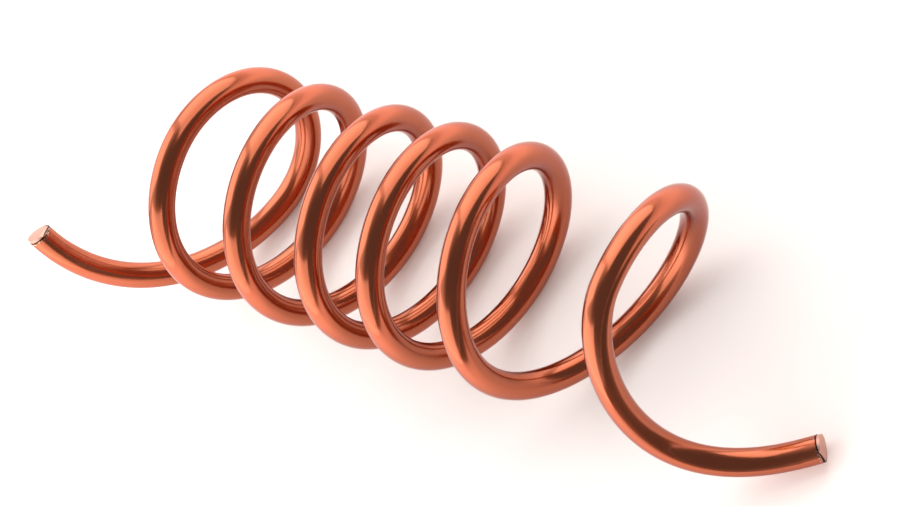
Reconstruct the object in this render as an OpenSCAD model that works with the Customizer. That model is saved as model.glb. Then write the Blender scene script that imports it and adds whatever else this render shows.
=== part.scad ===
// Open coil of enamelled copper winding wire, lying on its side.
// One length of solid round wire makes six loops about the X axis. Its two ends are pulled out into tails and
// cut off square. The coil rests on the feet of its loops and on the cut edge of its front tail.

/* [Wire] */
// Diameter of the wire over its enamel
wire_d = 2.6; // [1.5:0.1:4]

/* [Loops] */
// Inside diameter of the loops, set by the bar that the wire was wound on
coil_inner_d = 18; // [14:0.1:28]
// Distance along the axis from the first loop's crown to the second's
gap_1_2 = 9.3; // [6:0.1:14]
// Distance along the axis from the second loop's crown to the third's
gap_2_3 = 8.9; // [6:0.1:14]
// Distance along the axis from the third loop's crown to the fourth's
gap_3_4 = 7.3; // [6:0.1:14]
// Distance along the axis from the fourth loop's crown to the fifth's
gap_4_5 = 8.9; // [6:0.1:14]
// Distance along the axis from the fifth loop's crown to the last one's
gap_5_6 = 15.5; // [12:0.1:20]
// Turn of the loops about the vertical, away from square to the axis
loop_skew = 7; // [0:0.5:10]

/* [Last loop] */
// Distance along the axis from the fifth loop's crown to the last loop's foot
last_foot = 7.5; // [6:0.1:10]
// Turn of the last loop about the vertical, away from square to the axis
last_skew = 15; // [8:0.5:24]
// Forward lean of the last loop's crown
last_lean = 0.5; // [0:0.5:8]
// Advance along the axis at the last crown, for each quarter turn
last_pull = 3.5; // [2:0.5:9]

/* [Back tail] */
// Distance along the axis from the first loop's foot to its crown
first_rise = 2; // [1:0.1:4]
// Angle that the tail winds on past the first loop's foot
back_sweep = 126; // [90:1:140]
// Length along the axis from the first loop's foot to the cut end
back_reach = 11; // [8:0.1:20]
// Distance that the cut end stands outside the loops
back_flare = 3.8; // [0:0.1:6]
// Advance along the axis at the cut end, for each quarter turn
back_pull = 10.5; // [6:0.5:20]

/* [Front tail] */
// Length along the axis from the last loop's crown to the cut end
front_reach = 13.8; // [11:0.1:20]
// Distance of the cut end from the line of the loops' feet, which sets how far the coil can roll
front_offset = 6; // [4:0.1:9]
// Direction of the cut end, turned away from the axis
front_turn = 34.5; // [15:0.5:45]
// Slope of the cut end, down to the floor
front_drop = 3; // [2:0.5:15]
// Strength of the curve where the tail leaves the last loop
front_leave = 22; // [16:0.5:30]
// Strength of the curve where the tail runs out straight to its cut end
front_run = 54.5; // [44:0.5:64]

/* [Smoothness] */
// Sides of the wire's round section
wire_sides = 14; // [10:2:16]
// Rings of the sweep in one full turn
turn_rings = 50; // [36:2:56]

/* [Hidden] */
copper = [0.72, 0.33, 0.17];

wire_r = wire_d / 2;
loop_r = (coil_inner_d + wire_d) / 2;
crown_gaps = [gap_1_2, gap_2_3, gap_3_4, gap_4_5, gap_5_6];
loops = len(crown_gaps) + 1;

// Winding angle: each loop's foot is at a multiple of 360 degrees and its crown half a turn later.
// The front tail leaves the last crown and runs on for a nominal angle of its own.
start_angle = -back_sweep;
last_foot_angle = 360 * (loops - 1);
last_crown_angle = last_foot_angle + 180;
front_sweep = 150;
end_angle = last_crown_angle + front_sweep;

function sum_to(list, count) = count == 0 ? 0 : list[count - 1] + sum_to(list, count - 1);

// Stations along the axis: the back end, the first foot, the crowns but the last, the last foot and crown
crown_x = [for (k = [0:loops - 1]) sum_to(crown_gaps, k)];
last_foot_x = crown_x[loops - 2] + last_foot;
station_angles = concat(
    [start_angle, 0],
    [for (k = [0:loops - 2]) 360 * k + 180],
    [last_foot_angle, last_crown_angle]);
station_x = concat(
    [-first_rise - back_reach, -first_rise],
    [for (k = [0:loops - 2]) crown_x[k]],
    [last_foot_x, crown_x[loops - 1]]);
stations = len(station_angles);

// Slope at each station: the weighted mean of its two sides, and the tails' own pull at the ends
function span(i) = station_angles[i + 1] - station_angles[i];
function rise(i) = (station_x[i + 1] - station_x[i]) / span(i);
function inner_slope(i) = (rise(i - 1) * span(i) + rise(i) * span(i - 1)) / (span(i) + span(i - 1));
station_slopes = [for (i = [0:stations - 1])
    i == 0 ? back_pull / 90 : i == stations - 1 ? last_pull / 90 : inner_slope(i)];

function ramp(u) = max(0, min(1, u));
function ease(u) = ramp(u) * ramp(u) * (3 - 2 * ramp(u));

// Smooth cubic from one value and slope to another, for numbers and for points
function cubic(u, from, from_slope, to, to_slope) =
    (2 * u ^ 3 - 3 * u ^ 2 + 1) * from + (u ^ 3 - 2 * u ^ 2 + u) * from_slope
    + (3 * u ^ 2 - 2 * u ^ 3) * to + (u ^ 3 - u ^ 2) * to_slope;

// Advance along the axis from station to station
function stage(angle, i = 0) = i < stations - 2 && angle > station_angles[i + 1] ? stage(angle, i + 1) : i;
function advance_on(angle, i) = cubic(
    (angle - station_angles[i]) / span(i),
    station_x[i], station_slopes[i] * span(i),
    station_x[i + 1], station_slopes[i + 1] * span(i));
function advance(angle) = advance_on(angle, stage(angle));

// Slant of the loops: the last loop is turned and leans further than the others
function last_share(angle) = ease((angle - (last_foot_angle - 180)) / 180);
function slant(angle) = loop_r * (
    tan(loop_skew) * sin(angle) * (1 - last_share(angle))
    + (tan(last_skew) * sin(angle) - tan(last_lean) * cos(angle)) * last_share(angle));

// Centre line of the loops and the back tail, which opens out
function outward(angle) = [0, sin(angle), -cos(angle)];
function reach_r(angle) = loop_r + back_flare * ramp(angle / start_angle) ^ 2;
function on_loops(angle) = [advance(angle) + slant(angle), 0, 0] + reach_r(angle) * outward(angle);

// Centre line of the front tail: one curve from the last crown down to the floor
function unit(v) = v / norm(v);
leave_point = on_loops(last_crown_angle);
leave_dir = unit(leave_point - on_loops(last_crown_angle - 0.1));
front_end = [leave_point.x + front_reach, -front_offset, -loop_r - wire_r * (1 - cos(front_drop))];
front_dir = [cos(front_drop) * cos(front_turn), cos(front_drop) * sin(front_turn), -sin(front_drop)];
function on_front(u) = cubic(u, leave_point, front_leave * leave_dir, front_end, front_run * front_dir);

function centre(angle) = angle <= last_crown_angle
    ? on_loops(angle)
    : on_front((angle - last_crown_angle) / front_sweep);

// Sweep of the round section along the centre line
loop_rings = round((last_crown_angle - start_angle) / 360 * turn_rings);
tail_rings = round(turn_rings / 2);
rings = loop_rings + tail_rings;
ring_angles = concat(
    [for (i = [0:loop_rings]) start_angle + i * (last_crown_angle - start_angle) / loop_rings],
    [for (i = [1:tail_rings]) last_crown_angle + i * front_sweep / tail_rings]);
function heading(angle) = unit(centre(min(end_angle, angle + 0.1)) - centre(max(start_angle, angle - 0.1)));
function section(angle) =
    let (along = heading(angle), side = unit(cross(along, outward(angle))), out = cross(side, along))
    [for (k = [0:wire_sides - 1])
        let (turn = 360 * k / wire_sides)
        centre(angle) + wire_r * (cos(turn) * out + sin(turn) * side)];
swept = [for (angle = ring_angles) each section(angle)];
function ring_point(i, k) = i * wire_sides + k % wire_sides;
end_faces = [
    [for (k = [0:wire_sides - 1]) ring_point(0, k)],
    [for (k = [wire_sides - 1:-1:0]) ring_point(rings, k)]];
side_faces = [for (i = [0:rings - 1]) for (k = [0:wire_sides - 1]) each [
    [ring_point(i, k), ring_point(i + 1, k), ring_point(i + 1, k + 1)],
    [ring_point(i, k), ring_point(i + 1, k + 1), ring_point(i, k + 1)]]];

// Origin on the floor, under the middle of the coil
function middle(axis) = (min([for (p = swept) p[axis]]) + max([for (p = swept) p[axis]])) / 2;
floor_z = min([for (p = swept) p.z]);
origin = [middle(0), middle(1), floor_z];
placed = [for (p = swept) p - origin];

module wire() {
    color(copper) polyhedron(points = placed, faces = concat(end_faces, side_faces), convexity = 20);
}

wire();
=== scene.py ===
"""Looks of an open coil of enamelled copper winding wire, lying on a pale table.

The wire's centre line follows the same rule and sizes as the part's solid, in millimetres. A round
enamelled wire is swept along it, and the two sheared ends get their bare copper faces.
"""

import logging
import math
from dataclasses import dataclass
from enum import Enum
from typing import Any

import bpy
import numpy as np
from mathutils import Matrix, Vector


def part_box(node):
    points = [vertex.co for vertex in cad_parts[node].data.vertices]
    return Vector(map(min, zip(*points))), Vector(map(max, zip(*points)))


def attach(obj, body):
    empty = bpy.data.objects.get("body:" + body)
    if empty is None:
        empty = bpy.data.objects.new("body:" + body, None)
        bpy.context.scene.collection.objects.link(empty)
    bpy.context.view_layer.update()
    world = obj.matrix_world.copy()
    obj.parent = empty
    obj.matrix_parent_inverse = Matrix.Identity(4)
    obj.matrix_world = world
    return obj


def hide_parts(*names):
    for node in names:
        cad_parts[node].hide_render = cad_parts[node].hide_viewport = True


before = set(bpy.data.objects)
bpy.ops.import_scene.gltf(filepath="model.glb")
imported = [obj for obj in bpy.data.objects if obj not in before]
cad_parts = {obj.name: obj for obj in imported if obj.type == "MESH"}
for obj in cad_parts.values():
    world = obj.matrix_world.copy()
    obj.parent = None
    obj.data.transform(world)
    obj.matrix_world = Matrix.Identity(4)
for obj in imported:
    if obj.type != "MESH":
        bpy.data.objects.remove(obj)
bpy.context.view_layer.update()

log = logging.getLogger("coil")

MM = 0.001
NOISE_MIDDLE = 0.5


class Body(Enum):
    """Bodies that pieces ride on."""

    COIL = "root"


class Slot(Enum):
    """Material slots of the part's record."""

    ENAMEL = "enamelled_copper"
    CUT = "bare_copper"


class WireEnd(Enum):
    """The two cut ends of the wire."""

    BACK = "back"
    FRONT = "front"


def linear(hex_text: str) -> tuple[float, float, float, float]:
    """Turns an sRGB hex colour into linear red, green, blue and alpha.

    Args:
        hex_text: The colour, such as "#B55A34".

    Returns:
        The linear colour with an alpha of 1.
    """
    channels = [int(hex_text[i:i + 2], 16) / 255 for i in (1, 3, 5)]
    red, green, blue = (c / 12.92 if c <= 0.04045 else ((c + 0.055) / 1.055) ** 2.4 for c in channels)
    return red, green, blue, 1.0


def add_node(
    tree: bpy.types.NodeTree, kind: str, inputs: dict[Any, Any] | None = None, **settings: Any,
) -> bpy.types.Node:
    """Adds a node with its settings, input values and links.

    Args:
        tree: The tree that the node goes into.
        kind: The node's type name.
        inputs: Input sockets by name or number, each with a value or with the output socket to link.
        **settings: Properties of the node.

    Returns:
        The new node.
    """
    node = tree.nodes.new(kind)
    for name, value in settings.items():
        setattr(node, name, value)
    for key, value in (inputs or {}).items():
        if isinstance(value, bpy.types.NodeSocket):
            tree.links.new(value, node.inputs[key])
        else:
            node.inputs[key].default_value = value
    return node


def empty_material(name: str) -> tuple[bpy.types.Material, bpy.types.NodeTree]:
    """Makes a material with an empty node tree.

    Args:
        name: The material's name.

    Returns:
        The material and its tree.
    """
    material = bpy.data.materials.new(name)
    material.use_nodes = True
    material.node_tree.nodes.clear()
    return material, material.node_tree


def ease(share: np.ndarray) -> np.ndarray:
    """Smooth step from 0 to 1."""
    held = np.clip(share, 0, 1)
    return held * held * (3 - 2 * held)


def cubic(u: Any, start: Any, start_slope: Any, end: Any, end_slope: Any) -> Any:
    """Smooth cubic from one value and slope to another.

    Args:
        u: Share of the way, from 0 to 1.
        start: Value at 0.
        start_slope: Slope at 0.
        end: Value at 1.
        end_slope: Slope at 1.

    Returns:
        The value at u.
    """
    return (
        (2 * u ** 3 - 3 * u ** 2 + 1) * start
        + (u ** 3 - 2 * u ** 2 + u) * start_slope
        + (3 * u ** 2 - 2 * u ** 3) * end
        + (u ** 3 - u ** 2) * end_slope
    )


@dataclass(frozen=True)
class CoilPath:
    """Centre line of the coil, with the sizes of the part's source in millimetres and degrees."""

    wire_d: float = 2.6
    coil_inner_d: float = 18.0
    crown_gaps: tuple[float, ...] = (9.3, 8.9, 7.3, 8.9, 15.5)
    loop_skew: float = 7.0
    last_foot: float = 7.5
    last_skew: float = 15.0
    last_lean: float = 0.5
    last_pull: float = 3.5
    first_rise: float = 2.0
    back_sweep: float = 126.0
    back_reach: float = 11.0
    back_flare: float = 3.8
    back_pull: float = 10.5
    front_reach: float = 13.8
    front_offset: float = 6.0
    front_turn: float = 34.5
    front_drop: float = 3.0
    front_leave: float = 22.0
    front_run: float = 54.5
    # Degrees of winding before the last crown that give the direction there
    leave_step: float = 0.1
    loop_points: int = 2400
    tail_points: int = 200

    @property
    def loop_r(self) -> float:
        """Radius of the loops at the wire's centre."""
        return (self.coil_inner_d + self.wire_d) / 2

    @property
    def last_foot_angle(self) -> float:
        """Winding angle of the last loop's foot."""
        return 360.0 * len(self.crown_gaps)

    @property
    def last_crown_angle(self) -> float:
        """Winding angle of the last loop's crown, where the front tail leaves."""
        return self.last_foot_angle + 180.0

    def advance(self, angle: np.ndarray) -> np.ndarray:
        """Advance along the axis, smooth from station to station.

        Args:
            angle: Winding angles in degrees.

        Returns:
            The places along the axis, with the first crown at 0.
        """
        crowns = np.concatenate([[0.0], np.cumsum(self.crown_gaps)])
        crown_angles = [360.0 * k + 180.0 for k in range(len(crowns) - 1)]
        angles = np.array(
            [-self.back_sweep, 0.0, *crown_angles, self.last_foot_angle, self.last_crown_angle])
        first_foot = -self.first_rise
        back_end = first_foot - self.back_reach
        last_foot = crowns[-2] + self.last_foot
        places = np.array([back_end, first_foot, *crowns[:-1], last_foot, crowns[-1]])
        span = np.diff(angles)
        rise = np.diff(places) / span
        # Slope at each station: the weighted mean of its two sides, and the tails' own pull at the ends
        slopes = np.empty(len(angles))
        slopes[1:-1] = (rise[:-1] * span[1:] + rise[1:] * span[:-1]) / (span[1:] + span[:-1])
        slopes[0] = self.back_pull / 90
        slopes[-1] = self.last_pull / 90
        i = np.clip(np.searchsorted(angles, angle) - 1, 0, len(span) - 1)
        u = (angle - angles[i]) / span[i]
        return cubic(u, places[i], slopes[i] * span[i], places[i + 1], slopes[i + 1] * span[i])

    def on_loops(self, angle: np.ndarray) -> np.ndarray:
        """Centre line of the loops and the back tail.

        Args:
            angle: Winding angles in degrees, with 0 at the first loop's foot.

        Returns:
            One row of x, y and z for each angle.
        """
        turn = np.radians(angle)
        last_share = ease((angle - (self.last_foot_angle - 180)) / 180)
        skew = math.tan(math.radians(self.loop_skew)) * np.sin(turn)
        last_skew = math.tan(math.radians(self.last_skew)) * np.sin(turn)
        last_lean = math.tan(math.radians(self.last_lean)) * np.cos(turn)
        slant = self.loop_r * (skew * (1 - last_share) + (last_skew - last_lean) * last_share)
        reach = self.loop_r + self.back_flare * np.clip(-angle / self.back_sweep, 0, 1) ** 2
        return np.stack([self.advance(angle) + slant, reach * np.sin(turn), -reach * np.cos(turn)], axis=1)

    def on_front(self, u: np.ndarray) -> np.ndarray:
        """Centre line of the front tail, from the last crown down to the floor.

        Args:
            u: Shares of the tail, from 0 to 1.

        Returns:
            One row of x, y and z for each share.
        """
        crown = self.last_crown_angle
        before, leave = self.on_loops(np.array([crown - self.leave_step, crown]))
        leave_dir = (leave - before) / np.linalg.norm(leave - before)
        drop = math.radians(self.front_drop)
        turn = math.radians(self.front_turn)
        level = math.cos(drop)
        sink = self.wire_d / 2 * (1 - level)
        end = np.array([leave[0] + self.front_reach, -self.front_offset, -self.loop_r - sink])
        end_dir = np.array([level * math.cos(turn), level * math.sin(turn), -math.sin(drop)])
        return cubic(u[:, None], leave, self.front_leave * leave_dir, end, self.front_run * end_dir)

    def points(self) -> np.ndarray:
        """Points of the whole centre line in metres, set on the floor where the part's solid lies.

        Returns:
            One row of x, y and z for each point, from the back end to the front end.
        """
        angles = np.linspace(-self.back_sweep, self.last_crown_angle, self.loop_points)
        shares = np.linspace(0, 1, self.tail_points + 1)[1:]
        line = np.concatenate([self.on_loops(angles), self.on_front(shares)]) * MM
        low, high = (np.array(corner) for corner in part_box("wire"))
        along = np.gradient(line, axis=0)
        along /= np.linalg.norm(along, axis=1)[:, None]
        # A round wire reaches past its centre line by the part of its radius that is square to its own run
        reach = self.wire_d / 2 * MM * np.sqrt(1 - along ** 2)
        own_low, own_high = (line - reach).min(axis=0), (line + reach).max(axis=0)
        shift = (low + high) / 2 - (own_low + own_high) / 2
        shift[2] = low[2] - own_low[2]
        return line + shift


@dataclass(frozen=True)
class EnamelledCopper:
    """Drawn copper under a baked clear red-brown enamel.

    The enamel colours the copper below it like an amber lacquer, and its own smooth surface adds a clear
    gloss. The drawing die leaves faint streaks along the wire.
    """

    name: str = "enamelled_drawn_copper"
    light_tone: str = "#B55B33"
    deep_tone: str = "#A44C28"
    edge_tone: str = "#C99A86"
    torn_tone: str = "#3A1B12"
    chip_tone: str = "#E9D9CF"
    tone_length_mm: float = 9.0
    streak_length_mm: float = 14.0
    streak_width_mm: float = 0.3
    streak_depth_mm: float = 0.02
    streak_bump: float = 0.12
    # Noise values at which the gloss is clearest and dullest, and the roughness there
    streak_span: tuple[float, float] = (0.3, 0.7)
    roughness: tuple[float, float] = (0.16, 0.26)
    # Distances from the cut at which the torn film's dark edge starts to fade and is gone
    torn_mm: tuple[float, float] = (0.05, 0.1)
    chip_mm: float = 0.24
    # Noise values at which a chip starts and is whole
    chip_span: tuple[float, float] = (0.6, 0.66)
    # Distances from the cut at which chips start and are at their fullest
    chipped_mm: tuple[float, float] = (0.4, 0.2)
    coat: float = 0.8
    coat_roughness: float = 0.1
    coat_ior: float = 1.55

    def material(self) -> bpy.types.Material:
        """Builds the enamel's material on the wire's own unrolled coordinates.

        Returns:
            The material.
        """
        material, tree = empty_material(self.name)
        coord = add_node(tree, "ShaderNodeAttribute", attribute_name=WireBody.COORD).outputs["Vector"]
        to_end = add_node(tree, "ShaderNodeAttribute", attribute_name=WireBody.TO_END).outputs["Fac"]

        # Slow change of tone along the wire, from the film's thickness
        tone_scale = 1 / (self.tone_length_mm * MM)
        tone = add_node(tree, "ShaderNodeTexNoise", {"Vector": coord, "Scale": tone_scale, "Detail": 2.0})
        body = add_node(
            tree, "ShaderNodeMix",
            {"Factor": tone.outputs["Fac"], "A": linear(self.deep_tone), "B": linear(self.light_tone)},
            data_type="RGBA")

        # Die streaks: noise drawn out along the wire. The real ones are finer than the render can show.
        around = 1 / (self.streak_width_mm * MM)
        stretch = add_node(
            tree, "ShaderNodeMapping",
            {"Vector": coord, "Scale": (1 / (self.streak_length_mm * MM), around, around)})
        streak = add_node(
            tree, "ShaderNodeTexNoise", {"Vector": stretch.outputs["Vector"], "Scale": 1.0, "Detail": 3.0})
        gloss = add_node(
            tree, "ShaderNodeMapRange",
            {"Value": streak.outputs["Fac"],
             "From Min": self.streak_span[0], "From Max": self.streak_span[1],
             "To Min": self.roughness[0], "To Max": self.roughness[1]})

        # Torn film at the cuts: a dark edge, with pale chips where the film has crazed
        torn = add_node(
            tree, "ShaderNodeMapRange",
            {"Value": to_end, "From Min": self.torn_mm[0] * MM, "From Max": self.torn_mm[1] * MM,
             "To Min": 1.0, "To Max": 0.0})
        edged = add_node(
            tree, "ShaderNodeMix",
            {"Factor": torn.outputs["Result"], "A": body.outputs["Result"], "B": linear(self.torn_tone)},
            data_type="RGBA")
        chip_noise = add_node(
            tree, "ShaderNodeTexNoise", {"Vector": coord, "Scale": 1 / (self.chip_mm * MM), "Detail": 1.0})
        chip_here = add_node(
            tree, "ShaderNodeMapRange",
            {"Value": chip_noise.outputs["Fac"],
             "From Min": self.chip_span[0], "From Max": self.chip_span[1]})
        chip_zone = add_node(
            tree, "ShaderNodeMapRange",
            {"Value": to_end, "From Min": self.chipped_mm[0] * MM, "From Max": self.chipped_mm[1] * MM})
        chips = add_node(
            tree, "ShaderNodeMath", {0: chip_here.outputs["Result"], 1: chip_zone.outputs["Result"]},
            operation="MULTIPLY")
        colour = add_node(
            tree, "ShaderNodeMix",
            {"Factor": chips.outputs["Value"], "A": edged.outputs["Result"], "B": linear(self.chip_tone)},
            data_type="RGBA")

        bump = add_node(
            tree, "ShaderNodeBump",
            {"Height": streak.outputs["Fac"], "Strength": self.streak_bump,
             "Distance": self.streak_depth_mm * MM})
        shader = add_node(
            tree, "ShaderNodeBsdfPrincipled",
            {"Base Color": colour.outputs["Result"], "Metallic": 1.0, "Roughness": gloss.outputs["Result"],
             "Normal": bump.outputs["Normal"], "Specular Tint": linear(self.edge_tone),
             "Coat Weight": self.coat, "Coat Roughness": self.coat_roughness, "Coat IOR": self.coat_ior})
        add_node(tree, "ShaderNodeOutputMaterial", {"Surface": shader.outputs["BSDF"]})
        return material


@dataclass(frozen=True)
class ShearedCopper:
    """Bare copper where cutters have sheared the wire.

    Fresh copper is pale pink. The blades leave fine lines across it and a satin gloss.
    """

    name: str = "sheared_bare_copper"
    light_tone: str = "#D9AEA0"
    deep_tone: str = "#B98674"
    line_width_mm: float = 0.09
    line_length_mm: float = 1.4
    line_depth_mm: float = 0.02
    line_bump: float = 0.3
    # Noise values at which the satin is clearest and dullest, and the roughness there
    line_span: tuple[float, float] = (0.3, 0.7)
    roughness: tuple[float, float] = (0.34, 0.5)
    # Dark colour painted as shade where the face lies low
    painted_shade_tone: str = "#2A1510"
    # Depths below the cut's plane at which the painted shade starts and is full
    painted_shade_mm: tuple[float, float] = (-0.02, 0.05)

    def material(self) -> bpy.types.Material:
        """Builds the cut face's material on the face's own flat coordinates.

        Returns:
            The material.
        """
        material, tree = empty_material(self.name)
        coord = add_node(tree, "ShaderNodeAttribute", attribute_name=CutEnd.COORD).outputs["Vector"]
        across = 1 / (self.line_width_mm * MM)
        along = 1 / (self.line_length_mm * MM)
        stretch = add_node(tree, "ShaderNodeMapping", {"Vector": coord, "Scale": (across, along, 1.0)})
        lines = add_node(
            tree, "ShaderNodeTexNoise", {"Vector": stretch.outputs["Vector"], "Scale": 1.0, "Detail": 3.0})
        colour = add_node(
            tree, "ShaderNodeMix",
            {"Factor": lines.outputs["Fac"], "A": linear(self.deep_tone), "B": linear(self.light_tone)},
            data_type="RGBA")
        # Painted shade: the face is drawn dark where it lies low, in the notch and under the rim
        place = add_node(tree, "ShaderNodeSeparateXYZ", {"Vector": coord})
        unshaded_height, shaded_height = (-depth * MM for depth in self.painted_shade_mm)
        low = add_node(
            tree, "ShaderNodeMapRange",
            {"Value": place.outputs["Z"], "From Min": unshaded_height, "From Max": shaded_height})
        shaded = add_node(
            tree, "ShaderNodeMix",
            {"Factor": low.outputs["Result"], "A": colour.outputs["Result"], "B": linear(self.painted_shade_tone)},
            data_type="RGBA")
        satin = add_node(
            tree, "ShaderNodeMapRange",
            {"Value": lines.outputs["Fac"],
             "From Min": self.line_span[0], "From Max": self.line_span[1],
             "To Min": self.roughness[0], "To Max": self.roughness[1]})
        bump = add_node(
            tree, "ShaderNodeBump",
            {"Height": lines.outputs["Fac"], "Strength": self.line_bump,
             "Distance": self.line_depth_mm * MM})
        shader = add_node(
            tree, "ShaderNodeBsdfPrincipled",
            {"Base Color": shaded.outputs["Result"], "Metallic": 1.0, "Roughness": satin.outputs["Result"],
             "Normal": bump.outputs["Normal"]})
        add_node(tree, "ShaderNodeOutputMaterial", {"Surface": shader.outputs["BSDF"]})
        return material


@dataclass
class WireBody:
    """The enamelled wire: a round section swept along the coil's centre line by a node tree."""

    COORD = "wire_coord"
    TO_END = "to_end"

    path: CoilPath
    finish: EnamelledCopper
    name: str = "enamelled_wire"
    sides: int = 40
    ring_mm: float = 0.3
    wave_height_mm: float = 0.02
    wave_length_mm: float = 7.0
    crease_height_mm: float = 0.06
    crease_length_mm: float = 1.0
    gripped_mm: float = 7.5
    tear_mm: float = 0.18
    tears_per_mm: float = 1.4
    # Rings nearer to a cut than this are the torn end rings
    end_ring_mm: float = 0.01
    sharp_angle: float = 50.0
    seed: float = 4.0

    def guide(self) -> bpy.types.Object:
        """Makes the centre line as an object of edges.

        Returns:
            The object, at the origin.
        """
        points = self.path.points()
        edges = [(i, i + 1) for i in range(len(points) - 1)]
        mesh = bpy.data.meshes.new(self.name)
        mesh.from_pydata([tuple(p) for p in points], edges, [])
        guide = bpy.data.objects.new(self.name, mesh)
        bpy.context.scene.collection.objects.link(guide)
        return guide

    def sizes(self) -> dict[str, tuple[str, Any]]:
        """Named inputs of the sweep, each with its socket type and value in metres."""
        return {
            "Wire Diameter": ("NodeSocketFloat", self.path.wire_d * MM),
            "Sides": ("NodeSocketInt", self.sides),
            "Ring Spacing": ("NodeSocketFloat", self.ring_mm * MM),
            "Wave Height": ("NodeSocketFloat", self.wave_height_mm * MM),
            "Wave Length": ("NodeSocketFloat", self.wave_length_mm * MM),
            "Crease Height": ("NodeSocketFloat", self.crease_height_mm * MM),
            "Crease Length": ("NodeSocketFloat", self.crease_length_mm * MM),
            "Gripped Length": ("NodeSocketFloat", self.gripped_mm * MM),
            "Tear": ("NodeSocketFloat", self.tear_mm * MM),
            "Tears per Metre": ("NodeSocketFloat", self.tears_per_mm / MM),
            "Seed": ("NodeSocketFloat", self.seed),
            "Enamel": ("NodeSocketMaterial", self.finish.material()),
        }

    def unevenness(
        self, tree: bpy.types.NodeTree, coord: bpy.types.NodeSocket,
        seed: bpy.types.NodeSocket, length: bpy.types.NodeSocket,
    ) -> bpy.types.NodeSocket:
        """Adds a smooth noise over the unrolled wire, to both sides of 0.

        Args:
            tree: The sweep's tree.
            coord: The unrolled coordinates.
            seed: The noise's seed.
            length: The length of one wave.

        Returns:
            The noise, from -0.5 to 0.5.
        """
        scale = add_node(tree, "ShaderNodeMath", {0: 1.0, 1: length}, operation="DIVIDE")
        noise = add_node(
            tree, "ShaderNodeTexNoise",
            {"Vector": coord, "W": seed, "Scale": scale.outputs["Value"], "Detail": 1.0},
            noise_dimensions="4D")
        centred = add_node(
            tree, "ShaderNodeMath", {0: noise.outputs["Fac"], 1: NOISE_MIDDLE}, operation="SUBTRACT")
        return centred.outputs["Value"]

    def sweep_tree(self, sizes: dict[str, tuple[str, Any]]) -> tuple[bpy.types.NodeTree, dict[str, str]]:
        """Builds the tree that sweeps the section, makes it uneven as by hand, and tears its film.

        Args:
            sizes: The named inputs, with their socket types.

        Returns:
            The tree, and each input's socket identifier by name.
        """
        tree = bpy.data.node_groups.new("wire_sweep", "GeometryNodeTree")
        tree.interface.new_socket("Centre Line", in_out="INPUT", socket_type="NodeSocketGeometry")
        identifiers = {
            name: tree.interface.new_socket(name, in_out="INPUT", socket_type=kind).identifier
            for name, (kind, _) in sizes.items()
        }
        tree.interface.new_socket("Wire", in_out="OUTPUT", socket_type="NodeSocketGeometry")
        given = add_node(tree, "NodeGroupInput").outputs

        # Centre line with even rings, which remember how far they are from both ends
        curve = add_node(tree, "GeometryNodeMeshToCurve", {"Mesh": given["Centre Line"]})
        even = add_node(
            tree, "GeometryNodeResampleCurve",
            {"Curve": curve.outputs["Curve"], "Length": given["Ring Spacing"]}, mode="LENGTH")
        along = add_node(tree, "GeometryNodeSplineParameter").outputs["Length"]
        whole = add_node(tree, "GeometryNodeSplineLength").outputs["Length"]
        left = add_node(tree, "ShaderNodeMath", {0: whole, 1: along}, operation="SUBTRACT").outputs["Value"]
        tangent = add_node(tree, "GeometryNodeInputTangent").outputs["Tangent"]
        line = add_node(tree, "GeometryNodeCaptureAttribute", {"Geometry": even.outputs["Curve"]})
        for item, kind, field_socket in (
            ("along", "FLOAT", along), ("left", "FLOAT", left), ("tangent", "VECTOR", tangent),
        ):
            line.capture_items.new(kind, item)
            tree.links.new(field_socket, line.inputs[item])

        # Round section, which remembers its own flat place
        radius = add_node(tree, "ShaderNodeMath", {0: given["Wire Diameter"], 1: 0.5}, operation="MULTIPLY")
        circle = add_node(
            tree, "GeometryNodeCurvePrimitiveCircle",
            {"Resolution": given["Sides"], "Radius": radius.outputs["Value"]}, mode="RADIUS")
        section = add_node(tree, "GeometryNodeCaptureAttribute", {"Geometry": circle.outputs["Curve"]})
        section.capture_items.new("VECTOR", "section")
        position = add_node(tree, "GeometryNodeInputPosition").outputs["Position"]
        tree.links.new(position, section.inputs["section"])
        swept = add_node(
            tree, "GeometryNodeCurveToMesh",
            {"Curve": line.outputs["Geometry"], "Profile Curve": section.outputs["Geometry"],
             "Fill Caps": True})

        # Unrolled coordinates: the way along the wire and the place in its section
        flat = add_node(tree, "ShaderNodeSeparateXYZ", {"Vector": section.outputs["section"]})
        coord = add_node(
            tree, "ShaderNodeCombineXYZ",
            {"X": line.outputs["along"], "Y": flat.outputs["X"], "Z": flat.outputs["Y"]})
        to_end = add_node(
            tree, "ShaderNodeMath",
            {0: line.outputs["along"], 1: line.outputs["left"]}, operation="MINIMUM")
        marked = add_node(
            tree, "GeometryNodeStoreNamedAttribute",
            {"Geometry": swept.outputs["Mesh"], "Name": self.COORD, "Value": coord.outputs["Vector"]},
            data_type="FLOAT_VECTOR", domain="POINT")
        measured = add_node(
            tree, "GeometryNodeStoreNamedAttribute",
            {"Geometry": marked.outputs["Geometry"], "Name": self.TO_END, "Value": to_end.outputs["Value"]},
            data_type="FLOAT", domain="POINT")

        # Slow waves from winding by hand
        wave = self.unevenness(tree, coord.outputs["Vector"], given["Seed"], given["Wave Length"])
        wave_height = add_node(
            tree, "ShaderNodeMath", {0: wave, 1: given["Wave Height"]}, operation="MULTIPLY")

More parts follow.
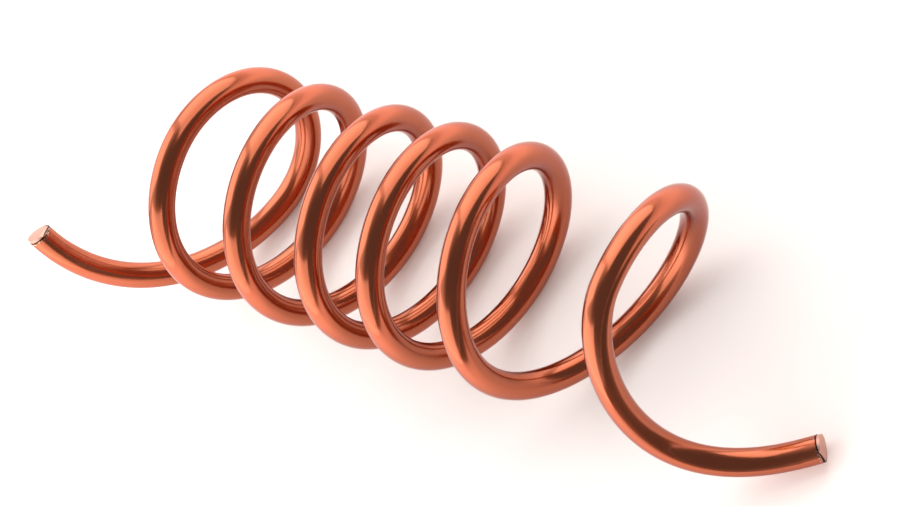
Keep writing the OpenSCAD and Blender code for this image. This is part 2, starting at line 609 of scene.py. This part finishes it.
        # Creases in the film where the cutters have gripped the wire, a few millimetres from the cuts
        crease = self.unevenness(tree, coord.outputs["Vector"], given["Seed"], given["Crease Length"])
        gripped = add_node(
            tree, "ShaderNodeMapRange",
            {"Value": to_end.outputs["Value"], "From Min": given["Gripped Length"], "From Max": 0.0,
             "To Min": 0.0, "To Max": given["Crease Height"]}, interpolation_type="SMOOTHSTEP")
        crease_height = add_node(
            tree, "ShaderNodeMath", {0: crease, 1: gripped.outputs["Result"]}, operation="MULTIPLY")
        lift = add_node(
            tree, "ShaderNodeMath",
            {0: wave_height.outputs["Value"], 1: crease_height.outputs["Value"]}, operation="ADD")
        normal = add_node(tree, "GeometryNodeInputNormal").outputs["Normal"]
        push = add_node(
            tree, "ShaderNodeVectorMath", {0: normal, "Scale": lift.outputs["Value"]}, operation="SCALE")
        uneven = add_node(
            tree, "GeometryNodeSetPosition",
            {"Geometry": measured.outputs["Geometry"], "Offset": push.outputs["Vector"]})

        # Torn film: the end rings draw back along the wire by uneven amounts
        tear_noise = add_node(
            tree, "ShaderNodeTexNoise",
            {"Vector": coord.outputs["Vector"], "W": given["Seed"], "Scale": given["Tears per Metre"],
             "Detail": 2.0}, noise_dimensions="4D")
        tear_depth = add_node(
            tree, "ShaderNodeMath", {0: tear_noise.outputs["Fac"], 1: given["Tear"]}, operation="MULTIPLY")
        at_end = add_node(
            tree, "ShaderNodeMath",
            {0: to_end.outputs["Value"], 1: self.end_ring_mm * MM}, operation="LESS_THAN")
        at_back = add_node(
            tree, "ShaderNodeMath",
            {0: line.outputs["along"], 1: line.outputs["left"]}, operation="LESS_THAN")
        # Inwards is along the run at the back end, 1, and against it at the front end, -1
        inward = add_node(
            tree, "ShaderNodeMath",
            {0: at_back.outputs["Value"], 1: 2.0, 2: -1.0}, operation="MULTIPLY_ADD")
        drawn_back = add_node(
            tree, "ShaderNodeMath",
            {0: inward.outputs["Value"], 1: tear_depth.outputs["Value"]}, operation="MULTIPLY")
        draw = add_node(
            tree, "ShaderNodeVectorMath",
            {0: line.outputs["tangent"], "Scale": drawn_back.outputs["Value"]}, operation="SCALE")
        torn = add_node(
            tree, "GeometryNodeSetPosition",
            {"Geometry": uneven.outputs["Geometry"], "Selection": at_end.outputs["Value"],
             "Offset": draw.outputs["Vector"]})

        smooth = add_node(tree, "GeometryNodeSetShadeSmooth", {"Geometry": torn.outputs["Geometry"]})
        real = add_node(tree, "GeometryNodeRealizeInstances", {"Geometry": smooth.outputs["Geometry"]})
        dressed = add_node(
            tree, "GeometryNodeSetMaterial",
            {"Geometry": real.outputs["Geometry"], "Material": given["Enamel"]})
        add_node(tree, "NodeGroupOutput", {"Wire": dressed.outputs["Geometry"]})
        return tree, identifiers

    def build(self) -> bpy.types.Object:
        """Sweeps the wire and turns the result into a plain mesh.

        Returns:
            The wire, riding on the coil's body in place of the part's plain solid.
        """
        wire = self.guide()
        sizes = self.sizes()
        tree, identifiers = self.sweep_tree(sizes)
        modifier = wire.modifiers.new("sweep", "NODES")
        modifier.node_group = tree
        for name, (_, value) in sizes.items():
            modifier[identifiers[name]] = value
        depsgraph = bpy.context.evaluated_depsgraph_get()
        mesh = bpy.data.meshes.new_from_object(
            wire.evaluated_get(depsgraph), preserve_all_data_layers=True, depsgraph=depsgraph)
        wire.modifiers.remove(modifier)
        wire.data = mesh
        mesh.set_sharp_from_angle(angle=math.radians(self.sharp_angle))
        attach(wire, Body.COIL.value)
        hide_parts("wire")
        return wire


@dataclass
class CutEnd:
    """Bare copper at one cut end: the sheared face and the short core that the torn film leaves open."""

    COORD = "face_coord"

    path: CoilPath
    end: WireEnd
    finish: bpy.types.Material
    film_mm: float = 0.09
    depth_mm: float = 0.8
    rim_drop_mm: float = 0.04
    rim_power: int = 12
    ridge_mm: float = 0.04
    lean_mm: float = 0.4
    lean_angle: float = 145.0
    notch_mm: float = 0.6
    notch_angle: float = 28.0
    notch_width: float = 42.0
    # Share of the radius at which the notch starts
    notch_start: float = 0.6
    sharp_angle: float = 40.0
    sectors: int = 72
    rings: tuple[float, ...] = (0.12, 0.26, 0.4, 0.54, 0.66, 0.76, 0.84, 0.9, 0.95, 0.985, 1.0)

    def place(self) -> tuple[Vector, Vector, Vector, Vector]:
        """Finds the middle of the cut face and its three directions.

        Returns:
            The middle, and the unit directions across, up and out of the face.
        """
        points = self.path.points()
        if self.end is WireEnd.FRONT:
            middle, inner = points[-1], points[-2]
        else:
            middle, inner = points[0], points[1]
        out = Vector(middle - inner).normalized()
        across = out.cross(Vector((0, 0, 1))).normalized()
        return Vector(middle), across, across.cross(out).normalized(), out

    def height(self, share: float, angle: float) -> float:
        """Height of the face over its plane, in millimetres.

        Args:
            share: Distance from the middle as a share of the radius.
            angle: Direction from the middle in degrees, with 90 at the top.

        Returns:
            The height: a lean to one side, a low ridge, a rolled rim and a small notch in the edge.
        """
        lean = self.lean_mm * (1 + share * math.cos(math.radians(angle - self.lean_angle))) / 2
        ridge = -self.ridge_mm * abs(share * math.sin(math.radians(angle)))
        rim = -self.rim_drop_mm * share ** self.rim_power
        off = (angle - self.notch_angle + 180) % 360 - 180
        across = max(0.0, 1 - abs(off) / self.notch_width)
        outward = max(0.0, (share - self.notch_start) / (1 - self.notch_start))
        return lean + ridge + rim - self.notch_mm * across * outward

    def corner(self, ring: int, sector: int) -> int:
        """Number of the point at a ring and sector, after the middle point."""
        return 1 + ring * self.sectors + sector % self.sectors

    def build(self) -> bpy.types.Object:
        """Makes the end as a closed mesh.

        Returns:
            The end, riding on the coil's body.
        """
        middle, across, up, out = self.place()
        core_r = (self.path.wire_d / 2 - self.film_mm) * MM
        points: list[Vector] = [middle + self.height(0.0, 0.0) * MM * out]
        flat: list[tuple[float, float, float]] = [(0.0, 0.0, 0.0)]
        levels = [(share, None) for share in self.rings] + [(1.0, -self.depth_mm)]
        for share, level in levels:
            for k in range(self.sectors):
                angle = 360 * k / self.sectors
                x = share * core_r * math.cos(math.radians(angle))
                y = share * core_r * math.sin(math.radians(angle))
                z = (self.height(share, angle) if level is None else level) * MM
                points.append(middle + x * across + y * up + z * out)
                flat.append((x, y, z))
        sectors = range(self.sectors)
        faces = [(0, self.corner(0, k), self.corner(0, k + 1)) for k in sectors]
        for i in range(len(levels) - 1):
            faces += [
                (self.corner(i, k), self.corner(i + 1, k), self.corner(i + 1, k + 1), self.corner(i, k + 1))
                for k in sectors
            ]
        faces.append(tuple(self.corner(len(levels) - 1, k) for k in reversed(sectors)))
        name = f"cut_face_{self.end.value}"
        mesh = bpy.data.meshes.new(name)
        mesh.from_pydata([tuple(p) for p in points], [], faces)
        coord = mesh.attributes.new(self.COORD, "FLOAT_VECTOR", "POINT")
        coord.data.foreach_set("vector", np.array(flat, np.float32).ravel())
        mesh.materials.append(self.finish)
        mesh.shade_smooth()
        mesh.set_sharp_from_angle(angle=math.radians(self.sharp_angle))
        piece = bpy.data.objects.new(name, mesh)
        bpy.context.scene.collection.objects.link(piece)
        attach(piece, Body.COIL.value)
        return piece


@dataclass(frozen=True)
class Softbox:
    """A flat soft lamp that faces the coil. Its glow is its brightness beside a white table's 1.

    Sizes are in metres. A lamp may stand aside, moved along its own width from the line to the coil.
    """

    name: str
    azimuth: float
    elevation: float
    width: float
    height: float
    glow: float
    distance: float = 0.6
    aside: float = 0.0
    tone: str = "#FFF9F0"

    def build(self, aim: Vector) -> bpy.types.Object:
        """Makes the lamp.

        Args:
            aim: The point that the lamp faces.

        Returns:
            The lamp.
        """
        azimuth, elevation = math.radians(self.azimuth), math.radians(self.elevation)
        level = math.cos(elevation)
        away = Vector((level * math.cos(azimuth), level * math.sin(azimuth), math.sin(elevation)))
        data = bpy.data.lights.new(self.name, "AREA")
        data.shape = "RECTANGLE"
        data.size = self.width
        data.size_y = self.height
        data.energy = self.glow * math.pi * self.width * self.height
        data.color = linear(self.tone)[:3]
        lamp = bpy.data.objects.new(self.name, data)
        turn = away.to_track_quat("Z", "Y")
        lamp.location = aim + turn @ Vector((self.aside, 0, self.distance))
        lamp.rotation_mode = "QUATERNION"
        lamp.rotation_quaternion = turn
        lamp.visible_camera = False
        bpy.context.scene.collection.objects.link(lamp)
        return lamp


@dataclass(frozen=True)
class TentGap:
    """A dark gap in the white light tent, with a soft edge between two angles from its middle."""

    azimuth: float
    elevation: float
    inner: float
    outer: float

    def share(self, tree: bpy.types.NodeTree, way: bpy.types.NodeSocket) -> bpy.types.NodeSocket:
        """Adds the nodes that tell the tent's cloth from the gap.

        Args:
            tree: The world's tree.
            way: The direction that is looked in.

        Returns:
            The share of cloth: 0 in the gap and 1 well outside it.
        """
        turn, rise = math.radians(self.azimuth), math.radians(self.elevation)
        middle = (math.cos(rise) * math.cos(turn), math.cos(rise) * math.sin(turn), math.sin(rise))
        near = add_node(tree, "ShaderNodeVectorMath", {0: way, 1: middle}, operation="DOT_PRODUCT")
        edge = add_node(
            tree, "ShaderNodeMapRange",
            {"Value": near.outputs["Value"], "From Min": math.cos(math.radians(self.inner)),
             "From Max": math.cos(math.radians(self.outer))},
            interpolation_type="SMOOTHSTEP")
        return edge.outputs["Result"]


@dataclass
class Studio:
    """The pale satin table, the white light tent with its lamps, and the camera."""

    table_radius: float = 2.0
    table_sides: int = 96
    table_drop_mm: float = 0.02
    table_roughness: float = 0.35
    table_tone: str = "#EAEAEC"
    # Glow of the table close to the coil and far from it; the low glow close to the coil is a painted shade
    # round it
    table_glow: tuple[float, float] = (0.14, 0.85)
    # The glow's pink is a painted copper-coloured bounce light, which shows close to the coil and clips to
    # white further out
    glow_and_painted_bounce_tone: str = "#FFD8CE"
    # Middle and reach of the painted shade round the coil, where the glow stays low
    painted_shade_middle_mm: tuple[float, float] = (-2.0, 4.0)
    painted_shade_reach_mm: tuple[float, float] = (42.0, 26.0)
    # Shares of that reach at which the far glow starts and is full
    painted_shade_fade: tuple[float, float] = (0.6, 1.7)
    softboxes: tuple[Softbox, ...] = (
        Softbox("back_softbox", 75, 40, width=0.27, height=0.12, glow=1.75, distance=0.096, aside=0.1),
        Softbox("far_softbox", 185, 35, width=0.48, height=0.68, glow=1.6),
        Softbox("front_softbox", 266, 17, width=0.13, height=0.064, glow=1.55, distance=0.072, aside=-0.02),
    )
    camera_gap: TentGap = TentGap(azimuth=4, elevation=20, inner=45, outer=100)
    overhead_gap: TentGap = TentGap(azimuth=-49, elevation=57, inner=8, outer=63)
    tent_tone: str = "#FFFFFF"
    tent_glow: float = 1.15
    gap_tone: str = "#807F7E"
    # A dark sheet on the table that only the wire's gloss sees: a painted dark reflection
    dark_reflection_tone: str = "#7C7A79"
    dark_sheet_roughness: float = 0.9
    dark_sheet_lift_mm: float = 0.3
    dark_sheet_edge_mm: tuple[float, float] = (50.0, 22.0)
    dark_sheet_mm: tuple[float, float] = (500.0, 400.0)
    camera_place_mm: tuple[float, float, float] = (150.88, -18.85, 223.88)
    camera_aim_mm: tuple[float, float, float] = (0.9, 0.86, 9.96)
    camera_roll: float = -63.45
    camera_lens: float = 113.34
    camera_sensor: float = 36.0
    camera_clip: tuple[float, float] = (0.01, 20.0)
    aim_height_mm: float = 12.0

    def lay(
        self, name: str, corners: list[tuple[float, float]], height: float, material: bpy.types.Material,
    ) -> bpy.types.Object:
        """Lays a flat sheet under or beside the coil.

        Args:
            name: The sheet's name.
            corners: Its corners in metres, seen from above.
            height: Its height over the floor in metres.
            material: Its finish.

        Returns:
            The sheet.
        """
        mesh = bpy.data.meshes.new(name)
        mesh.from_pydata([(x, y, height) for x, y in corners], [], [tuple(range(len(corners)))])
        mesh.materials.append(material)
        sheet = bpy.data.objects.new(name, mesh)
        bpy.context.scene.collection.objects.link(sheet)
        return sheet

    def table(self) -> bpy.types.Object:
        """Makes the table top, which looks white away from the coil and keeps the coil's shadow, with a
        painted shade and a painted copper-coloured bounce light close to the coil.

        Returns:
            The table top.
        """
        material, tree = empty_material("white_table")
        ray = add_node(tree, "ShaderNodeLightPath").outputs
        direct = add_node(
            tree, "ShaderNodeMath", {0: ray["Is Camera Ray"], 1: ray["Is Glossy Ray"]}, operation="MAXIMUM")
        seen = add_node(
            tree, "ShaderNodeMath",
            {0: direct.outputs["Value"], 1: ray["Is Transmission Ray"]}, operation="MAXIMUM")
        # The glow makes the table white away from the coil. Close to the coil it is low and pink: a painted
        # shade and a painted copper-coloured bounce light over the coil's own shadow.
        place = add_node(tree, "ShaderNodeTexCoord").outputs["Object"]
        middle = (self.painted_shade_middle_mm[0] * MM, self.painted_shade_middle_mm[1] * MM, 0.0)
        reach = (self.painted_shade_reach_mm[0] * MM, self.painted_shade_reach_mm[1] * MM, 1.0)
        shift = add_node(tree, "ShaderNodeVectorMath", {0: place, 1: middle}, operation="SUBTRACT")
        share = add_node(
            tree, "ShaderNodeVectorMath", {0: shift.outputs["Vector"], 1: reach}, operation="DIVIDE")
        away = add_node(tree, "ShaderNodeVectorMath", {0: share.outputs["Vector"]}, operation="LENGTH")
        level = add_node(
            tree, "ShaderNodeMapRange",
            {"Value": away.outputs["Value"],
             "From Min": self.painted_shade_fade[0], "From Max": self.painted_shade_fade[1],
             "To Min": self.table_glow[0], "To Max": self.table_glow[1]}, interpolation_type="SMOOTHSTEP")
        glow = add_node(
            tree, "ShaderNodeMath",
            {0: seen.outputs["Value"], 1: level.outputs["Result"]}, operation="MULTIPLY")
        white = add_node(
            tree, "ShaderNodeEmission",
            {"Color": linear(self.glow_and_painted_bounce_tone), "Strength": glow.outputs["Value"]})
        satin = add_node(
            tree, "ShaderNodeBsdfPrincipled",
            {"Base Color": linear(self.table_tone), "Roughness": self.table_roughness})
        both = add_node(
            tree, "ShaderNodeAddShader", {0: satin.outputs["BSDF"], 1: white.outputs["Emission"]})
        add_node(tree, "ShaderNodeOutputMaterial", {"Surface": both.outputs["Shader"]})
        turns = [2 * math.pi * k / self.table_sides for k in range(self.table_sides)]
        corners = [(self.table_radius * math.cos(t), self.table_radius * math.sin(t)) for t in turns]
        return self.lay("table_top", corners, -self.table_drop_mm * MM, material)

    def dark_reflection_sheet(self) -> bpy.types.Object:
        """Lays a dark sheet before the camera, outside its view, that only the wire's gloss sees: a painted
        dark reflection in the wire.

        Returns:
            The dark sheet.
        """
        material, tree = empty_material("dark_reflection_sheet")
        dark_finish = add_node(
            tree, "ShaderNodeBsdfPrincipled",
            {"Base Color": linear(self.dark_reflection_tone), "Roughness": self.dark_sheet_roughness})
        add_node(tree, "ShaderNodeOutputMaterial", {"Surface": dark_finish.outputs["BSDF"]})
        near, side = (edge * MM for edge in self.dark_sheet_edge_mm)
        length, width = (size * MM for size in self.dark_sheet_mm)
        far, low = near + length, side - width
        corners = [(near, low), (far, low), (far, side), (near, side)]
        cloth = self.lay("dark_reflection_sheet", corners, self.dark_sheet_lift_mm * MM, material)
        # Only gloss rays see the sheet, so it is a painted dark reflection in the wire
        cloth.visible_camera = False
        cloth.visible_diffuse = False
        cloth.visible_shadow = False
        return cloth

    def surroundings(self) -> None:
        """Sets the world: a white light tent, dark towards the camera and in a gap overhead."""
        world = bpy.data.worlds.new("light_tent")
        world.use_nodes = True
        tree = world.node_tree
        tree.nodes.clear()
        way = add_node(tree, "ShaderNodeTexCoord").outputs["Generated"]
        cloth = add_node(
            tree, "ShaderNodeMath",
            {0: self.camera_gap.share(tree, way), 1: self.overhead_gap.share(tree, way)},
            operation="MULTIPLY")
        lit = add_node(
            tree, "ShaderNodeBackground", {"Color": linear(self.tent_tone), "Strength": self.tent_glow})
        dark = add_node(tree, "ShaderNodeBackground", {"Color": linear(self.gap_tone), "Strength": 1.0})
        both = add_node(
            tree, "ShaderNodeMixShader",
            {0: cloth.outputs["Value"], 1: dark.outputs["Background"], 2: lit.outputs["Background"]})
        add_node(tree, "ShaderNodeOutputWorld", {"Surface": both.outputs["Shader"]})
        bpy.context.scene.world = world

    def camera(self) -> bpy.types.Object:
        """Makes the camera at the photograph's viewing angle.

        Returns:
            The camera, set as the scene's own.
        """
        place = Vector(self.camera_place_mm) * MM
        back = (place - Vector(self.camera_aim_mm) * MM).normalized()
        level = Vector((0, 0, 1)).cross(back).normalized()
        roll = math.radians(self.camera_roll)
        up = math.cos(roll) * back.cross(level) - math.sin(roll) * level
        data = bpy.data.cameras.new("camera")
        data.sensor_width = self.camera_sensor
        data.lens = self.camera_lens
        data.clip_start, data.clip_end = self.camera_clip
        camera = bpy.data.objects.new("camera", data)
        turn = Matrix((up.cross(back), up, back)).transposed()
        camera.matrix_world = Matrix.Translation(place) @ turn.to_4x4()
        bpy.context.scene.collection.objects.link(camera)
        bpy.context.scene.camera = camera
        return camera

    def build(self) -> None:
        """Sets up everything round the coil."""
        self.camera()
        self.table()
        self.dark_reflection_sheet()
        self.surroundings()
        aim = Vector((0, 0, self.aim_height_mm * MM))
        for softbox in self.softboxes:
            softbox.build(aim)
        bpy.context.scene.view_settings.view_transform = "Standard"


def report(piece: bpy.types.Object) -> None:
    """Logs a piece's name and its count of faces."""
    log.info("%s: %d faces", piece.name, len(piece.data.polygons))


def main() -> None:
    """Builds the coil's pieces and the studio round them."""
    logging.basicConfig(level=logging.INFO, format="%(name)s: %(message)s")
    path = CoilPath()
    report(WireBody(path, EnamelledCopper()).build())
    cut = ShearedCopper().material()
    for end in WireEnd:
        report(CutEnd(path, end, cut).build())
    Studio().build()


if __name__ == "__main__":
    main()
